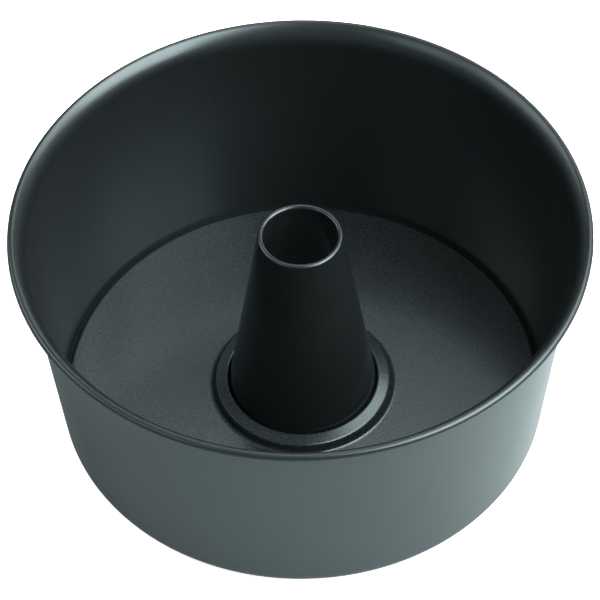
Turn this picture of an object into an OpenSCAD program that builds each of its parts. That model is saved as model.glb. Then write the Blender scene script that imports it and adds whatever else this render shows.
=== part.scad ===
// Two-piece angel food cake pan: a drawn shell, and an insert that lifts out of it,
// made of a base disc with a tall hollow centre tube seamed into it.
// Millimetres. The origin is on the table under the centre of the pan, +Z up.
// Every piece is one pressed sheet, drawn as a strip of even thickness and turned about Z.

/* [Shell] */
// Outer diameter of the rolled rim
rim_d = 238; // [230:1:260]
// Overall height of the pan
pan_h = 107.3; // [95:0.1:125]
// Diameter where the outside of the wall would meet the table
base_d = 204.8; // [184:0.1:210]
// How far the rim stands out past the outside of the wall
rim_overhang = 5.85; // [5:0.05:8]
// Outside radius where the wall curves in to the bottom lip
corner_r = 8.2; // [7:0.1:12]
// Width of the flat bottom lip that stands on the table
lip_w = 6; // [3:0.5:12]
// Radius of the flare from the wall out to the rim, on the inside
flare_r = 13.5; // [9:0.5:20]
// Diameter of the rolled bead of the rim
bead_d = 3.2; // [2.8:0.1:3.8]
// Angle that the rim's sheet turns through as it rolls into the bead
bead_turn = 285; // [240:5:290]
// Thickness of the shell's sheet
shell_t = 0.8; // [0.6:0.1:1]

/* [Base disc] */
// How far the disc's edge lies inside the foot of the wall
disc_inset = 1.35; // [1.2:0.05:4]
// Height of the disc's turned-down edge
disc_edge_h = 1.5; // [1.5:0.1:4]
// Outside radius of the bend at the disc's edge
disc_edge_r = 1.4; // [1:0.1:1.4]
// Height of the raised boss round the tube, above the floor, at the inside of its ledge
boss_h = 5; // [4:0.1:8]
// Width of the ledge on top of the boss
ledge_w = 5.4; // [4.6:0.1:12]
// How far the ledge slopes down from its inside to its outside
ledge_drop = 1.2; // [0.4:0.1:1.6]
// How far the boss's side spreads from the ledge down to the floor
boss_flare = 1.3; // [1:0.1:4]
// Radius of the bend at the boss's foot, mid-sheet
boss_foot_r = 2.2; // [0.8:0.1:2.6]
// Radius of the bend at the outside of the ledge, mid-sheet
ledge_out_r = 1.2; // [0.6:0.1:1.8]
// Radius of the bend at the inside of the ledge, mid-sheet
ledge_in_r = 0.55; // [0.55:0.05:1]
// Thickness of the disc's sheet
disc_t = 0.8; // [0.6:0.1:1]

/* [Centre tube] */
// Outer diameter at the top of the tube
tube_top_d = 35.1; // [30:0.1:46]
// Outer diameter of the tube's cone where it meets its foot
tube_foot_d = 63.6; // [54:0.1:76]
// Height of the tube above the floor
tube_h = 95.2; // [70:0.1:115]
// Diameter of the curl rolled inward at the tube's mouth
mouth_curl_d = 2.3; // [2.2:0.1:3.4]
// Angle that the mouth's curl turns through
mouth_turn = 255; // [200:5:265]
// Thickness of the tube's sheet
tube_t = 0.7; // [0.5:0.1:0.8]

/* [Seam of disc and tube] */
// Width of the flange at the foot of the disc's collar, past its bend
flange_w = 1.3; // [0.9:0.1:1.6]
// Bend radius at the foot of the disc's collar, mid-sheet
collar_bend_r = 0.8; // [0.6:0.05:1]

/* [Clearances] */
// Gap between the disc's edge and the shell's curve that it sits in
seat_gap = 0.3; // [0.1:0.05:0.5]
// Gap between the folded sheets of the seam
seam_gap = 0.02; // [0.01:0.01:0.05]

/* [Hidden] */
$fn = 128;
// Bends are drawn in steps of at most this angle and this length
step_turn = 9;
step_length = 0.8;

// Shell: the outside of the wall runs from (base_d / 2, 0) to the top of the pan
wall_lean = atan2(rim_d / 2 - rim_overhang - base_d / 2, pan_h);
wall_up = [sin(wall_lean), cos(wall_lean)];
wall_out = [cos(wall_lean), -sin(wall_lean)];
corner_c = [base_d / 2 - corner_r * (1 - sin(wall_lean)) / cos(wall_lean), corner_r];
lip_in_r = corner_c.x - lip_w;

// Flare: touches the wall's inside, and the rolled bead at its top
bead_r = bead_d / 2;
bead_c = [rim_d / 2 - bead_r, pan_h - bead_r];
wall_foot = [base_d / 2, 0] - shell_t * wall_out;
bead_along = (bead_c - wall_foot) * wall_up;
bead_off = (bead_c - wall_foot) * wall_out;
flare_along = bead_along - sqrt((flare_r - bead_r) ^ 2 - (flare_r - bead_off) ^ 2);
flare_c = wall_foot + flare_along * wall_up + flare_r * wall_out;
bead_start = angle_of(bead_c - flare_c);

// Disc: its turned-down edge sits in the shell's bottom curve
disc_r = base_d / 2 - disc_inset;
disc_foot_z = corner_c.y
    - sqrt((corner_r - shell_t - seat_gap) ^ 2 - (disc_r - corner_c.x) ^ 2);
floor_z = disc_foot_z + disc_edge_h;
floor_mid = floor_z - disc_t / 2;
ledge_mid = floor_mid + boss_h;

// Seam: the disc's collar turns out at its foot, and the tube's foot folds round it
cone_lean = atan2((tube_foot_d - tube_top_d) / 2, tube_h);
fold_r = (disc_t + tube_t) / 2 + seam_gap;
foot_z = floor_z - disc_t + tube_t / 2;
flange_z = foot_z + fold_r;
nest_c = [tube_foot_d / 2 + (collar_bend_r + disc_t / 2 + seam_gap) / cos(cone_lean),
    flange_z + collar_bend_r];
collar_r = nest_c.x - collar_bend_r;
flange_end = nest_c.x + flange_w;
boss_r = collar_r - disc_t / 2 + ledge_w;

// Tube: a cone from the seam up to its curled mouth
cone_up = [-sin(cone_lean), cos(cone_lean)];
cone_out = [cos(cone_lean), sin(cone_lean)];
nest_r = collar_bend_r + fold_r;
mouth_z = floor_z + tube_h;
mouth_r = mouth_curl_d / 2;
mouth_c = [tube_top_d / 2 - mouth_r, mouth_z - mouth_r];

function angle_of(v) = atan2(v.y, v.x);
function at(a) = [cos(a), sin(a)];

// A sheet is a list of bends [centre, mid radius, first angle, last angle], joined by
// straight runs. Angles fall where the way turns right and rise where it turns left.
function bend(centre, r, first, last) = [centre, r, first, last];

// The free end of a sheet at p, where its right-hand side faces the given angle
function free_end(p, facing) = [p, 0, facing, facing];

// Bend of mid radius r at the corner b of the way a to b to c
function corner(a, b, c, r) =
    let (from = angle_of(b - a))
    let (turn = (angle_of(c - b) - from + 540) % 360 - 180)
    let (way = sign(turn))
    let (start = b - at(from) * r * tan(abs(turn) / 2))
    bend(start + way * r * at(from + 90), r, from - way * 90, from - way * 90 + turn);

// Number of steps in a bend of radius r that turns by an angle
function steps(r, turn) = max(ceil(turn / step_turn), ceil(r * turn * PI / 180 / step_length));

// Points of one side of a sheet, off to its left
function side(bends, off) = [
    for (k = bends)
        let (r = k[1] + (k[3] < k[2] ? off : -off))
        let (n = steps(k[1], abs(k[3] - k[2])))
        for (i = [0:n])
            k[0] + r * at(k[2] + (k[3] - k[2]) * i / max(n, 1))
];

function backward(list) = [for (i = [len(list) - 1:-1:0]) list[i]];

// A sheet of thickness t turned about Z
module spun_sheet(bends, t) {
    rotate_extrude()
        polygon(concat(side(bends, t / 2), backward(side(bends, -t / 2))));
}

// Shell: bottom lip, curved corner, leaning wall, flare and rolled rim
module pan_shell() {
    color([0.24, 0.26, 0.26])
        spun_sheet([
            free_end([lip_in_r, shell_t / 2], -90),
            bend(corner_c, corner_r - shell_t / 2, -90, -wall_lean),
            bend(flare_c, flare_r - shell_t / 2, 180 - wall_lean, bead_start),
            bend(bead_c, bead_r - shell_t / 2, bead_start, bead_start - bead_turn)
        ], shell_t);
}

// Base disc: turned-down edge, flat floor, raised boss with a sloping ledge, and a collar
// down to the seam
module base_disc() {
    edge_mid = disc_r - disc_t / 2;
    edge_bend_r = disc_edge_r - disc_t / 2;
    foot = [edge_mid, disc_foot_z];
    rim = [edge_mid, floor_mid];
    boss_foot = [boss_r + boss_flare, floor_mid];
    boss_top = [boss_r, ledge_mid - ledge_drop];
    collar_top = [collar_r, ledge_mid];
    collar_foot = [collar_r, flange_z];
    flange = [flange_end, flange_z];
    color([0.33, 0.35, 0.35])
        spun_sheet([
            free_end(foot, 0),
            corner(foot, rim, boss_foot, edge_bend_r),
            corner(rim, boss_foot, boss_top, boss_foot_r),
            corner(boss_foot, boss_top, collar_top, ledge_out_r),
            corner(boss_top, collar_top, collar_foot, ledge_in_r),
            corner(collar_top, collar_foot, flange, collar_bend_r),
            free_end(flange, -90)
        ], disc_t);
}

// Centre tube: curled mouth, hollow cone, and a foot folded round the disc's flange
module centre_tube() {
    fold_x = flange_end + seam_gap;
    fold_c = [fold_x, flange_z];
    hem_end = [nest_c.x, flange_z + fold_r];
    color([0.13, 0.14, 0.14])
        spun_sheet([
            bend(mouth_c, mouth_r - tube_t / 2, cone_lean + mouth_turn, cone_lean),
            bend(nest_c, nest_r, 180 + cone_lean, 270),
            bend(fold_c, fold_r, -90, 90),
            free_end(hem_end, 90)
        ], tube_t);
}

pan_shell();
base_disc();
centre_tube();
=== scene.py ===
"""Angel food cake pan: finish of the drawn steel pieces, studio light and camera."""

import math

import bpy
from mathutils import Matrix, Vector


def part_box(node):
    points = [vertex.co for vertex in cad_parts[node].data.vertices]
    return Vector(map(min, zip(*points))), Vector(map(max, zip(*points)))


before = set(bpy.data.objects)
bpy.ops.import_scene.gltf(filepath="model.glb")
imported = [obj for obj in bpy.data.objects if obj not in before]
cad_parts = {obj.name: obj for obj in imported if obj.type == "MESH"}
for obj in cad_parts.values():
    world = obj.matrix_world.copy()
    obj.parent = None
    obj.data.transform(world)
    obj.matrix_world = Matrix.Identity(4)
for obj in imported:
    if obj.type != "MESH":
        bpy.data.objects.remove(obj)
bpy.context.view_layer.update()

# Camera, in metres, degrees and, for sensor and lens, millimetres. It looks down at the middle
# of the rim's top from CAMERA_DISTANCE, then turns by the pan, tilt and roll.
RIM_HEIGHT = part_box("pan_shell")[1].z
CAMERA_DISTANCE = 1.2774
CAMERA_ELEVATION = 48.36
CAMERA_PAN = -0.0256
CAMERA_TILT = -1.3603
CAMERA_ROLL = -1.0441
CAMERA_CLIP = (0.05, 50)
SENSOR_WIDTH = 36.0
LENS = 188.92

# Softboxes aimed at the pan. Azimuth and elevation are in degrees, where azimuth 0 is right,
# 90 behind, 180 left and 270 in front. Lengths are in metres. Brightness is radiance, where 1
# shows as white.
LIGHT_TARGET = Vector((0, 0, 0.05))
LIGHT_DISTANCE = 1.5
KEY_COLOUR = (1.11, 1.0, 0.965)
FILL_COLOUR = (1.06, 1.0, 0.98)
SOFTBOXES = {
    "key": dict(azimuth=336, elevation=48, width=1.15, height=1.35, brightness=14.5, colour=KEY_COLOUR),
    "right": dict(azimuth=16, elevation=40, width=0.45, height=0.85, brightness=8.2),
    "right_high": dict(azimuth=47, elevation=56, width=0.5, height=0.75, brightness=7.5),
    "right_back": dict(azimuth=55, elevation=30, width=0.9, height=0.3, brightness=3.5),
    "back_high": dict(azimuth=85, elevation=64, width=0.45, height=0.6, brightness=4.5),
    "back_low": dict(azimuth=85, elevation=7, width=1.5, height=0.25, brightness=3),
    "left": dict(azimuth=167, elevation=36, width=1.2, height=0.7, brightness=4),
    "left_front": dict(azimuth=217, elevation=40, width=0.6, height=0.6, brightness=2.6),
}
ROOM_BRIGHTNESS = 0.29

# Floor and card, as linear colour, brightness of their own, and height and half-width in metres
FLOOR_COLOUR = (0.93, 0.93, 0.93, 1)
FLOOR_GLOW = 0.75
FLOOR_HEIGHT = -0.0004
CARD_COLOUR = (0.215, 0.28, 0.288, 1)
# The card's glow is painted light in its reflections, also where the pan shades it
CARD_PAINTED_GLOW = 0.035
CARD_HEIGHT = -0.0002
STAGE_HALF = 12

# Painted shade and light on the card: it is darker than its colour at the left, where the pan's shadow
# falls, and lighter at the right, where the key falls, by these factors at the two ends of a span in X,
# in metres
CARD_PAINTED_LIGHT_SPAN = (-0.12, 0.12)
CARD_PAINTED_LIGHT_FACTORS = (0.85, 1.3)

# Depth of the rolled bead below the rim's top, where the coated side of the sheet ends
BEAD_DEPTH = 0.0034

# Shift in Z, in metres, that also counts the shell's bottom as its outside
UNDERSIDE_SHIFT = -0.04

# The coating takes red out of the light that it scatters, and about as much out of its gloss
COATING_IOR = 1.5
COATING_TINT = (0.66, 0.92, 1.0)
GLOSS_TINT = (0.695, 0.94, 1.0, 1)

# The noises' scales, per metre, and the values between which most of each noise lies
MOTTLE_SCALE = 70.0
MOTTLE_RANGE = (0.3, 0.7)
GRAIN_SCALE = 1200.0
GRAIN_RANGE = (0.42, 0.58)

# How far the coating's roughness drifts from place to place
MOTTLING = 0.02


def place(obj):
    """Links a new object into the scene and returns it."""
    bpy.context.scene.collection.objects.link(obj)
    return obj


def make_camera():
    """The photograph's viewpoint, turned a little from the line to the rim's centre."""
    elevation = math.radians(CAMERA_ELEVATION)
    target = Vector((0, 0, RIM_HEIGHT))
    back = Vector((0, -math.cos(elevation), math.sin(elevation)))
    right = Vector((1, 0, 0))
    up = back.cross(right)
    ahead = -back + math.tan(math.radians(CAMERA_PAN)) * right
    ahead = (ahead + math.tan(math.radians(CAMERA_TILT)) * up).normalized()
    side = ahead.cross(up).normalized()
    top = side.cross(ahead)
    roll = math.radians(CAMERA_ROLL)
    x_axis = math.cos(roll) * side + math.sin(roll) * top
    y_axis = -math.sin(roll) * side + math.cos(roll) * top
    data = bpy.data.cameras.new("camera")
    data.sensor_width = SENSOR_WIDTH
    data.lens = LENS
    data.clip_start, data.clip_end = CAMERA_CLIP
    camera = place(bpy.data.objects.new("camera", data))
    turned = Matrix((x_axis, y_axis, -ahead)).transposed().to_4x4()
    camera.matrix_world = Matrix.Translation(target + back * CAMERA_DISTANCE) @ turned
    bpy.context.scene.camera = camera


def make_softbox(name, azimuth, elevation, width, height, brightness, colour=FILL_COLOUR):
    """A soft rectangular light of even brightness, facing the pan."""
    data = bpy.data.lights.new(name, "AREA")
    data.shape = "RECTANGLE"
    data.size = width
    data.size_y = height
    data.energy = brightness * math.pi * width * height
    data.color = colour
    light = place(bpy.data.objects.new(name, data))
    turn = math.radians(azimuth)
    rise = math.radians(elevation)
    away = Vector((math.cos(rise) * math.cos(turn), math.cos(rise) * math.sin(turn), math.sin(rise)))
    light.location = LIGHT_TARGET + away * LIGHT_DISTANCE
    light.rotation_euler = (-away).to_track_quat("-Z", "Y").to_euler()


def make_world():
    """The dim room round the softboxes."""
    world = bpy.data.worlds.new("studio")
    bpy.context.scene.world = world
    world.use_nodes = True
    background = world.node_tree.nodes["Background"]
    background.inputs["Color"].default_value = (1, 1, 1, 1)
    background.inputs["Strength"].default_value = ROOM_BRIGHTNESS


def node_in(tree, kind, **settings):
    """Adds a shader node and sets its properties and named inputs."""
    made = tree.nodes.new(kind)
    for name, value in settings.items():
        if hasattr(made, name):
            setattr(made, name, value)
        else:
            made.inputs[name.replace("_", " ")].default_value = value
    return made


def spread(tree, source, source_range, low, high):
    """A varying output stretched from its own range to another."""
    ranged = node_in(tree, "ShaderNodeMapRange", To_Min=low, To_Max=high)
    ranged.inputs["From Min"].default_value, ranged.inputs["From Max"].default_value = source_range
    tree.links.new(source, ranged.inputs["Value"])
    return ranged.outputs["Result"]


def multiply(tree, first, second):
    """Output of the product of two varying outputs."""
    made = node_in(tree, "ShaderNodeMath", operation="MULTIPLY")
    tree.links.new(first, made.inputs[0])
    tree.links.new(second, made.inputs[1])
    return made.outputs[0]


def compare(tree, operation, source, limit):
    """1 where a varying output is on the asked side of a limit, 0 elsewhere."""
    made = node_in(tree, "ShaderNodeMath", operation=operation)
    made.inputs[1].default_value = limit
    tree.links.new(source, made.inputs[0])
    return made.outputs[0]


def by_constant(tree, operation, vector, constant):
    """Output of a vector operation on a vector output and a constant vector."""
    made = node_in(tree, "ShaderNodeVectorMath", operation=operation)
    made.inputs[1].default_value = constant
    tree.links.new(vector, made.inputs[0])
    return made.outputs["Vector"]


def dot_with(tree, vector, other):
    """Output of the dot product of two vector outputs."""
    dot = node_in(tree, "ShaderNodeVectorMath", operation="DOT_PRODUCT")
    tree.links.new(vector, dot.inputs[0])
    tree.links.new(other, dot.inputs[1])
    return dot.outputs["Value"]


def split(tree, vector):
    """The X, Y and Z outputs of a vector output."""
    parts = node_in(tree, "ShaderNodeSeparateXYZ")
    tree.links.new(vector, parts.inputs[0])
    return parts.outputs


def colour_surface(tree, colour, strength):
    """Gives a material's surface a colour times a varying output."""
    scaled = node_in(tree, "ShaderNodeVectorMath", operation="SCALE")
    scaled.inputs[0].default_value = colour
    tree.links.new(strength, scaled.inputs["Scale"])
    tree.links.new(scaled.outputs["Vector"], tree.nodes["Principled BSDF"].inputs["Base Color"])


def make_plane(name, height, colour, glow):
    """A flat square of stage, facing up, that gives a little light of its own."""
    mesh = bpy.data.meshes.new(name)
    half = STAGE_HALF
    corners = [(-half, -half, 0), (half, -half, 0), (half, half, 0), (-half, half, 0)]
    mesh.from_pydata(corners, [], [(0, 1, 2, 3)])
    plane = place(bpy.data.objects.new(name, mesh))
    plane.location.z = height
    material = bpy.data.materials.new(name + "_paint")
    material.use_nodes = True
    shader = material.node_tree.nodes["Principled BSDF"]
    shader.inputs["Base Color"].default_value = colour
    shader.inputs["Roughness"].default_value = 1.0
    shader.inputs["Specular IOR Level"].default_value = 0.0
    shader.inputs["Emission Color"].default_value = (1, 1, 1, 1)
    shader.inputs["Emission Strength"].default_value = glow
    mesh.materials.append(material)
    return plane


def make_stage():
    """A white floor out to the horizon, and a grey card on it that only reflections show, with painted
    shade at its left and painted light at its right.
    """
    make_plane("floor", FLOOR_HEIGHT, FLOOR_COLOUR, FLOOR_GLOW)
    card = make_plane("reflected_card", CARD_HEIGHT, CARD_COLOUR, CARD_PAINTED_GLOW)
    card.visible_camera = False
    card.visible_diffuse = False
    card.visible_shadow = False
    card.visible_transmission = False
    card.visible_volume_scatter = False
    tree = card.data.materials[0].node_tree
    place_of = node_in(tree, "ShaderNodeTexCoord")
    across = split(tree, place_of.outputs["Object"])["X"]
    # Painted shade at the card's left and painted light at its right, where the pan's shadow and the
    # key's light fall
    colour_surface(tree, CARD_COLOUR[:3], spread(tree, across, CARD_PAINTED_LIGHT_SPAN, *CARD_PAINTED_LIGHT_FACTORS))


def outside_mask(tree, place_of):
    """1 on the shell's outside and underside below the rolled rim, 0 on its coated side."""
    position = place_of.outputs["Object"]
    outward = by_constant(tree, "MULTIPLY", position, (1, 1, 0))
    outward = by_constant(tree, "ADD", outward, (0, 0, UNDERSIDE_SHIFT))
    faces_out = compare(tree, "GREATER_THAN", dot_with(tree, place_of.outputs["Normal"], outward), 0.0)
    below_rim = compare(tree, "LESS_THAN", split(tree, position)["Z"], RIM_HEIGHT - BEAD_DEPTH)
    return multiply(tree, faces_out, below_rim)


def coating(name, share, roughness, speckle, grain, outside=None):
    """Satin non-stick coating with a mottled gloss, speckled colour and fine grain.

    share is the part of the light that it scatters, speckle how far that swings from grain to
    grain, and grain the height of the bumps in metres. outside holds the share and the
    roughness of the shell's outside.
    """
    material = bpy.data.materials.new(name)
    material.use_nodes = True
    tree = material.node_tree
    shader = tree.nodes["Principled BSDF"]
    shader.inputs["Metallic"].default_value = 0.0
    shader.inputs["IOR"].default_value = COATING_IOR
    shader.inputs["Specular Tint"].default_value = GLOSS_TINT
    place_of = node_in(tree, "ShaderNodeTexCoord")

    mottle = node_in(tree, "ShaderNodeTexNoise", Scale=MOTTLE_SCALE, Detail=4.0, Roughness=0.6)
    fine = node_in(tree, "ShaderNodeTexNoise", Scale=GRAIN_SCALE, Detail=2.0, Roughness=0.6)
    for noise in (mottle, fine):
        tree.links.new(place_of.outputs["Object"], noise.inputs["Vector"])

    swing = (share * (1 - speckle), share * (1 + speckle))
    drift = (roughness - MOTTLING, roughness + MOTTLING)
    scatter = spread(tree, fine.outputs["Fac"], GRAIN_RANGE, *swing)
    gloss = spread(tree, mottle.outputs["Fac"], MOTTLE_RANGE, *drift)
    if outside:
        mask = outside_mask(tree, place_of)
        scatter = multiply(tree, scatter, spread(tree, mask, (0, 1), 1, outside[0] / share))
        gloss = multiply(tree, gloss, spread(tree, mask, (0, 1), 1, outside[1] / roughness))
    colour_surface(tree, COATING_TINT, scatter)
    tree.links.new(gloss, shader.inputs["Roughness"])

    bump = node_in(tree, "ShaderNodeBump", Strength=1.0, Distance=grain)
    tree.links.new(fine.outputs["Fac"], bump.inputs["Height"])
    tree.links.new(bump.outputs["Normal"], shader.inputs["Normal"])
    return material


def finish_node(name, material):
    """Gives a CAD piece its material."""
    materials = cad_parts[name].data.materials
    materials.clear()
    materials.append(material)


make_camera()
make_stage()
make_world()
for box_name, box in SOFTBOXES.items():
    make_softbox(box_name, **box)
finish_node("pan_shell", coating(
    "shell_coating", share=0.0078, roughness=0.29, speckle=0.1, grain=0.000012, outside=(0.025, 0.2)))
finish_node("base_disc", coating(
    "disc_coating", share=0.013, roughness=0.25, speckle=0.34, grain=0.000036))
finish_node("centre_tube", coating(
    "tube_coating", share=0.009, roughness=0.19, speckle=0.1, grain=0.000012))
bpy.context.scene.view_settings.view_transform = "Standard"
